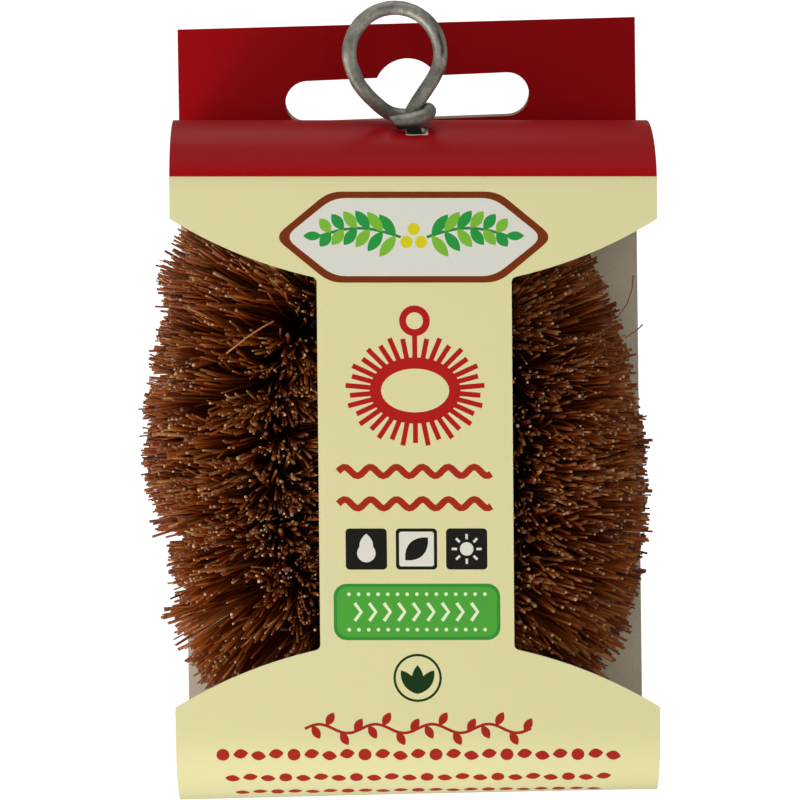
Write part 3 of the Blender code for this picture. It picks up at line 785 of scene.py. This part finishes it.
def waist(sign):
    """One edge of the front panel's waist, the right one downwards for sign 1 and the left one upwards for
    sign -1: a shallow arc in from the side, a small fillet, the strip's edge, and the same again
    mirrored."""
    x = np.linspace(SLEEVE_HALF, STRIP_HALF + WAIST_FILLET, 14)
    drop = np.sqrt(WAIST_RADIUS**2 - STRIP_HALF**2) - np.sqrt(WAIST_RADIUS**2 - x**2)
    upper = np.stack([x, STRIP_TOP_Z + drop], -1)
    corner = np.array([STRIP_HALF, STRIP_TOP_Z])
    fillet = quadratic(upper[-1], corner, corner - [0, WAIST_FILLET], 6)
    half = np.concatenate([upper, fillet[1:]])
    middle = (STRIP_TOP_Z + STRIP_FOOT_Z) / 2
    lower = half[::-1] * [1, -1] + [0, 2 * middle]
    edge = np.concatenate([half, lower])
    return edge if sign > 0 else (edge * [-1, 1])[::-1]


def slot(height, degrees):
    """The hanging slot: round ends, and a bump in the middle of its upper edge. It was punched a little off
    level."""
    end = SLOT_HEIGHT / 2
    centre = SLOT_HALF - end
    bump = end + BUMP_RISE - BUMP_RADIUS
    half = np.degrees(np.arccos((end - bump) / BUMP_RADIUS))
    outline = [
        arc(-centre, 0, end, end, 270, 90, 17),
        arc(0, bump, BUMP_RADIUS, BUMP_RADIUS, 90 + half, 90 - half, 19),
        arc(centre, 0, end, end, 90, -90, 17),
    ]
    return turned(np.concatenate(outline), degrees) + [0, height]


def neck_hole(height):
    """The hole for the wire, round behind it, and torn open to a ragged square in front."""
    behind = arc(0, 0, HOLE_RADIUS, HOLE_RADIUS, 0, 180, 16)
    left, right = [[-0.92, -1.3], [-0.86, -2.2], [-0.3, -2.32]], [[0.3, -2.2], [0.84, -2.36], [0.96, -1.3]]
    square = np.array(left + right)
    return np.concatenate([behind, square * HOLE_RADIUS]) + [NECK[0], height]


def torn_rim(height):
    """Bare white paper beside the tear, in front and on the right, where the print has come away."""
    outer = [[1.16, 0.1], [1.2, -0.8], [1.12, -1.5], [1.18, -2.3], [0.96, -2.6], [0.4, -2.46], [-0.4, -2.6]]
    inner = [[-1.0, -2.5], [-0.7, -2.1], [0.6, -2.0], [0.7, -0.9], [0.8, 0]]
    return np.array(outer + inner) * HOLE_RADIUS + [NECK[0], height]


def divided(loop):
    """A closed outline with points put in so that none of its edges is longer than the mesh's step."""
    parts = []
    for a, b in zip(loop, np.roll(loop, -1, axis=0)):
        count = max(1, int(np.ceil(np.linalg.norm(b - a) / MESH_STEP)))
        parts.append(a + (b - a) * np.arange(count)[:, None] / count)
    return np.concatenate(parts)


def inside(points, outline):
    """Whether each point lies in a closed outline: a line to the right of it crosses the outline an odd
    number of times."""
    odd = np.zeros(len(points), bool)
    for a, b in zip(outline, np.roll(outline, -1, axis=0)):
        if a[1] == b[1]:
            continue
        spans = (points[:, 1] < a[1]) != (points[:, 1] < b[1])
        crossing = a[0] + (points[:, 1] - a[1]) * (b[0] - a[0]) / (b[1] - a[1])
        odd ^= spans & (points[:, 0] < crossing)
    return odd


def cut_sheet(outline, holes, inks):
    """Triangles of a flat sheet. Its outline, its holes and the edges of its inks all lie on edges of the
    mesh, so that each triangle is of one ink."""
    outline = divided(outline)
    low, high = outline.min(0), outline.max(0)
    xs = np.arange(low[0] + MESH_STEP / 2, high[0], MESH_STEP)
    zs = np.arange(low[1] + MESH_STEP / 2, high[1], MESH_STEP)
    inner = np.stack(np.meshgrid(xs, zs), -1).reshape(-1, 2)
    loops = [outline, *holes, *[divided(shape) for shape, _ in inks]]
    flat = np.concatenate([*loops, inner]) / MM
    edges, first = [], 0
    for loop in loops:
        numbers = first + np.arange(len(loop))
        edges += list(zip(numbers.tolist(), np.roll(numbers, -1).tolist()))
        first += len(loop)
    points, _, faces, _, _, _ = delaunay_2d_cdt(flat.tolist(), edges, [], 0, 1e-5)
    points = np.array([tuple(p) for p in points]) * MM
    faces = np.array(faces)
    middles = points[faces].mean(1)
    kept = inside(middles, outline)
    for hole in holes:
        kept &= ~inside(middles, hole)
    faces = faces[kept]
    colours = np.tile(linear(CREAM), (len(faces), 1))
    for shape, ink in inks:
        near = inside(middles[kept], shape)
        colours[near] = linear(ink)
    used, faces = np.unique(faces, return_inverse=True)
    return points[used], faces.reshape(-1, 3), colours


def card_piece(name, line, outline, holes, inks, material, facing=1):
    """Board of even thickness: the printed sheet, the raw sheet behind it, and the cut edge between them.
    The print faces forward on a line that runs down, or back where facing is -1. The attribute ink holds
    the colour, with 1 for printed, 0.5 for cut and 0 for raw board as its alpha. The attribute lay holds
    the place on the flat card in millimetres, and the way through the board, from 1 to -1."""
    flat, faces, colours = cut_sheet(outline, holes, inks)
    count = len(flat)
    printed, raw = folded(line, flat, facing * CARD / 2), folded(line, flat, -facing * CARD / 2)
    a = faces.ravel()
    b = np.roll(faces, -1, axis=1).ravel()
    pair = a.astype(np.int64) * count + b
    open_edge = ~np.isin(pair, b.astype(np.int64) * count + a)
    a, b = a[open_edge], b[open_edge]
    walls = np.concatenate([np.stack([b, a, a + count], -1), np.stack([b, a + count, b + count], -1)])
    triangles = np.concatenate([faces, faces[:, ::-1] + count, walls])[:, ::facing]
    obj = skin(name, np.concatenate([printed, raw]), triangles, material)
    obj.data.set_sharp_from_angle(angle=np.radians(40))
    ink = np.ones((len(triangles), 3, 4))
    ink[: len(faces), :, :3] = colours[:, None]
    ink[len(faces) : 2 * len(faces)] = [*linear(RAW_BOARD), 0]
    ink[2 * len(faces) :] = [*linear(CORE_PAPER), 0.5]
    attribute(obj, "ink", "FLOAT_COLOR", "CORNER", "color", ink)
    lay = np.column_stack([np.tile(flat / MM, (2, 1)), np.repeat([1.0, -1.0], count)])
    attribute(obj, "lay", "FLOAT_VECTOR", "POINT", "vector", lay)
    return obj


def printed_card():
    """Folding boxboard with a satin varnish over the inks: an even, low gloss. The raw back is grey, woolly
    and dull, and the cut edge shows the pale core."""
    material, shader = new_material("printed_card")
    ink = node(material, "Attribute", attribute_name="ink")
    lay = node(material, "Attribute", attribute_name="lay")
    fleck = noise(material, lay.outputs["Vector"], 2.2, 5, 0.65)
    flecked = between(material, fleck, 0.82, 1.18)
    raw_share = between(material, ink.outputs["Alpha"], 1.0, 0.12)
    shade = node(material, "Mix", {0: raw_share, 2: 1.0, 3: flecked}, data_type="FLOAT").outputs[0]
    colour = mix(material, 1.0, ink.outputs["Color"], shade, "MULTIPLY")
    gloss = between(material, ink.outputs["Alpha"], 0.85, 0.38)
    woolly = roughened(material, fleck, 0.25, 0.02 * MM)
    feed(material, shader, {"Base Color": colour, "Roughness": gloss, "Normal": woolly})
    feed(material, shader, {"Specular IOR Level": 0.06})
    return material


def leaf(x, z, length, width, degrees):
    """A pointed leaf from (x, z) on, in millimetres: its half width is a sine along it, a little fuller."""
    t = np.linspace(0, 1, 9)
    half = width / 2 * np.sin(np.pi * t) ** 0.8
    upper = np.stack([t * length, half], -1)
    lower = np.stack([t * length, -half], -1)[::-1][1:-1]
    return (turned(np.concatenate([upper, lower]), degrees) + [x, z]) * MM


def ribbon(line, width):
    """A stroke of even width along a line, in millimetres."""
    heading = np.gradient(line, axis=0)
    heading /= np.linalg.norm(heading, axis=1)[:, None]
    side = np.stack([-heading[:, 1], heading[:, 0]], -1) * width / 2
    return np.concatenate([line + side, (line - side)[::-1]]) * MM


def spot(x, z, radius_x, radius_z=None, count=24):
    """A disc or an ellipse, in millimetres."""
    return arc(x, z, radius_x, radius_z or radius_x, 0, 360, count + 1)[:-1] * MM


def plate(x, z, half_x, half_z, corner):
    """A rectangle with round corners, in millimetres."""
    corners = [(1, 1, 0), (-1, 1, 90), (-1, -1, 180), (1, -1, 270)]
    quarter = [
        arc(x + i * (half_x - corner), z + j * (half_z - corner), corner, corner, a, a + 90, 7)
        for i, j, a in corners
    ]
    return np.concatenate(quarter) * MM


def wave(x_from, x_to, z, height, length):
    """A sine line, in millimetres."""
    x = np.arange(x_from, x_to + 0.01, 0.35)
    return np.stack([x, z + height * np.sin(2 * np.pi * x / length)], -1)


def sprig(side):
    """A stem that leaves the plaque's middle to one side in a sine line, with leaves above and below."""
    start, end = 1.6, 11.5

    def stem(x):
        return PLAQUE_Z + 1.1 * np.sin((x - start) / 3.3)

    x = np.linspace(start, end, 16)
    shapes = [(ribbon(np.stack([x * side, stem(x)], -1), 0.35), STEM_GREEN)]
    for k in range(6):
        at = 2.2 + 1.6 * k
        size = 3.3 - 0.22 * k
        for up_down in (1, -1):
            degrees = 52 * up_down if side > 0 else 180 - 52 * up_down
            colour = LEAF_GREEN if (k + (up_down > 0)) % 2 else LEAF_LIME
            shapes.append((leaf(at * side, stem(at), size, 1.35, degrees), colour))
    shapes.append((leaf((end - 0.2) * side, stem(end), 2.3, 1.1, 90 - 90 * side + 0.01), LEAF_GREEN))
    return shapes


def lozenge(half_x, half_z, shoulder):
    """A long hexagon about the plaque's middle, in millimetres, each corner rounded from 1.6 mm before it
    to 1.6 mm after it."""
    upper = [[half_x, 0], [shoulder, half_z], [-shoulder, half_z]]
    lower = [[-half_x, 0], [-shoulder, -half_z], [shoulder, -half_z]]
    corners = np.array(upper + lower)
    before, after = np.roll(corners, 1, axis=0), np.roll(corners, -1, axis=0)
    before = corners + (before - corners) * 1.6 / np.linalg.norm(before - corners, axis=1)[:, None]
    after = corners + (after - corners) * 1.6 / np.linalg.norm(after - corners, axis=1)[:, None]
    rounded = quadratic(before[:, None], corners[:, None], after[:, None], 6)
    return (rounded.reshape(-1, 2) + [0, PLAQUE_Z]) * MM


def plaque():
    """A brown-rimmed plaque with two sprigs and three yellow berries."""
    shapes = [(lozenge(17.2, 5.6, 10.4), RIM_BROWN), (lozenge(15.9, 4.8, 9.9), PLAQUE_WHITE)]
    shapes += sprig(1) + sprig(-1)
    for x, z in ((0, 1.0), (-0.9, -0.6), (0.9, -0.6)):
        shapes.append((spot(x, z + PLAQUE_Z, 0.75, count=16), BERRY_YELLOW))
    return shapes


def brush_sign():
    """A round brush with its eye, in red strokes, each second one a little shorter."""
    shapes = []
    strokes = 34
    for k in range(strokes):
        a = 2 * np.pi * (k + 0.5) / strokes
        ray = np.array([np.cos(a), np.sin(a)])
        inner, outer = ray * [4.6, 3.2], ray * [8.6, 6.9] * (0.94 if k % 2 else 1.0)
        line = np.linspace(inner, outer, 3) + [0, BRUSH_SIGN_Z]
        shapes.append((ribbon(line, 0.62), SIGN_RED))
    shapes.append((spot(0, BRUSH_SIGN_Z, 5.6, 4.1, 40), SIGN_RED))
    shapes.append((spot(0, BRUSH_SIGN_Z, 4.2, 2.7, 36), CREAM))
    shapes.append((spot(0, BRUSH_EYE_Z, 1.9, count=24), SIGN_RED))
    shapes.append((spot(0, BRUSH_EYE_Z, 1.05, count=20), CREAM))
    return shapes


def care_signs():
    """Three small squares in black and white: a drop, a leaf and a sun."""
    shapes = []
    for x in (-CARE_STEP, 0, CARE_STEP):
        shapes.append((plate(x, CARE_Z, 2.55, 2.55, 0.5), CARE_BLACK))
    shapes.append((plate(0, CARE_Z, 2.15, 2.15, 0.3), CARE_WHITE))
    shapes.append((spot(-CARE_STEP, CARE_Z - 0.5, 1.15, count=18), CARE_WHITE))
    shapes.append((leaf(-CARE_STEP, CARE_Z - 1, 2.9, 1.7, 90), CARE_WHITE))
    shapes.append((leaf(-1.4, CARE_Z - 1.4, 4.0, 2.2, 45), CARE_BLACK))
    shapes.append((spot(CARE_STEP, CARE_Z, 0.85, count=16), CARE_WHITE))
    for k in range(8):
        a = np.radians(45 * k)
        ray = np.array([np.cos(a), np.sin(a)])
        line = np.linspace(1.2 * ray, 1.85 * ray, 3) + [CARE_STEP, CARE_Z]
        shapes.append((ribbon(line, 0.3), CARE_WHITE))
    return shapes


def green_band():
    """A green band with pale chevrons between two rows of dots."""
    shapes = [(plate(0, BAND_Z, 10.3, 3.5, 1.6), BAND_RIM), (plate(0, BAND_Z, 9.9, 3.1, 1.3), BAND_GREEN)]
    for k in range(9):
        x = -7.2 + 1.8 * k
        chevron = np.array([[x - 0.5, 1.1], [x + 0.3, 0], [x - 0.5, -1.1]]) + [0, BAND_Z]
        shapes.append((ribbon(chevron, 0.42), BAND_PALE))
    for k in range(15):
        for z in (BAND_Z + 2.2, BAND_Z - 2.2):
            shapes.append((spot(-8.4 + 1.2 * k, z, 0.24, count=8), BAND_PALE))
    return shapes


def foot_border():
    """A garland of red leaves over rows of red dots and small leaves."""
    height, length = 0.55, 7.0
    shapes = [(ribbon(wave(-14, 14, GARLAND_Z, height, length), 0.36), BORDER_RED)]
    for k in range(16):
        x = -13.1 + 1.75 * k
        z = GARLAND_Z + height * np.sin(2 * np.pi * x / length)
        shapes.append((leaf(x, z, 1.9, 1.05, 60 if k % 2 else -60), BORDER_RED))
    for row, z in enumerate(DOT_ROWS_Z):
        for k in range(23 - row):
            x = -24.2 + 2.2 * k + 1.1 * row
            if (k + row) % 4 == 0:
                shapes.append((spot(x, z, 0.82, count=14), BORDER_RED))
            else:
                shapes.append((leaf(x - 0.95, z, 1.9, 1.3, 8 if k % 2 else -8), BORDER_RED))
    return shapes


def oblong(low, high, half=SLEEVE_HALF):
    """A rectangle as wide as the card, between two heights in metres."""
    return np.array([[-half, low], [half, low], [half, high], [-half, high]])


def field(low, high, ink):
    """A band of one ink right across the card and a little beyond its edges."""
    return (oblong(low, high, SLEEVE_HALF + 1 * MM), ink)


def build_wrap(material):
    """The wrap, laid flat from the header's top edge to its foot, with all the front's print."""
    line = wrap_line()
    lengths = running_length(line)
    top = height_zero(line)
    foot = top - lengths[-1]
    over_top = (line[:, 1] > TOP_FLAT_Z) & (line[:, 0] < HEADER_Y - 0.5 * MM)
    neck = top - np.interp(-NECK[1], -line[over_top, 0], lengths[over_top])
    right_side = [[[SLEEVE_HALF, top]], waist(1), [[SLEEVE_HALF, foot]]]
    left_side = [[[-SLEEVE_HALF, foot]], waist(-1), [[-SLEEVE_HALF, top]]]
    outline = np.concatenate(right_side + left_side)[::-1]
    inks = [
        field(RED_FOOT, top + 1 * MM, RED),
        # painted shade: the deeper red on the header's front layer
        field(top - SHADED_HEADER_LENGTH, top + 1 * MM, SHADED_HEADER_RED),
        (torn_rim(neck), CORE_PAPER),
    ]
    inks += plaque() + brush_sign()
    inks += [(ribbon(wave(-9.6, 9.6, z, 0.55, 3.2), 0.85), RULE_RED) for z in RULES_Z]
    inks += care_signs() + green_band()
    inks += [(spot(0, RING_Z, 3.0, count=32), RING_GREEN), (spot(0, RING_Z, 2.7, count=32), CREAM)]
    inks += [(leaf(0, RING_Z - 2, 3.6, 1.5, degrees), RING_GREEN) for degrees in (55, 90, 125)]
    inks += foot_border()
    holes = [slot(top - HEADER_TOP, 0.9), neck_hole(neck)]
    return card_piece("printed_wrap", line, outline, holes, inks, material)


def build_back(material):
    """The back panel with the back layer of the header, printed with red above and wavy rules below."""
    line = np.array([[BACK_Y, HEADER_TOP], [BACK_Y, CREASE_Z + CREASE_REACH]])
    low, high = line[1, 1], HEADER_TOP
    inks = [field(BACK_RED_FOOT, high + 1 * MM, RED)]
    for k in range(7):
        inks.append((ribbon(wave(-18, 18, -24.0 - 5.5 * k, 0.45, 3.2), 0.6), BORDER_RED))
    holes = [slot(SLOT_MISMATCH, 0.5)]
    return card_piece("printed_back", line, oblong(low, high), holes, inks, material, facing=-1)


def build_crease(material):
    """The strip of card between the wrap's end and the back panel's, which bends when the pack opens."""
    line = crease_corner()
    top = height_zero(line)
    foot = top - running_length(line)[-1]
    return card_piece("printed_crease", line, oblong(foot, top), [], [], material)


card = printed_card()
wrap_card = build_wrap(card)
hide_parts("sleeve_wrap")
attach(wrap_card, "brush_and_front")
back_card = build_back(card)
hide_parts("sleeve_back")
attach(back_card, "back_card")
crease = build_crease(card)
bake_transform(crease)
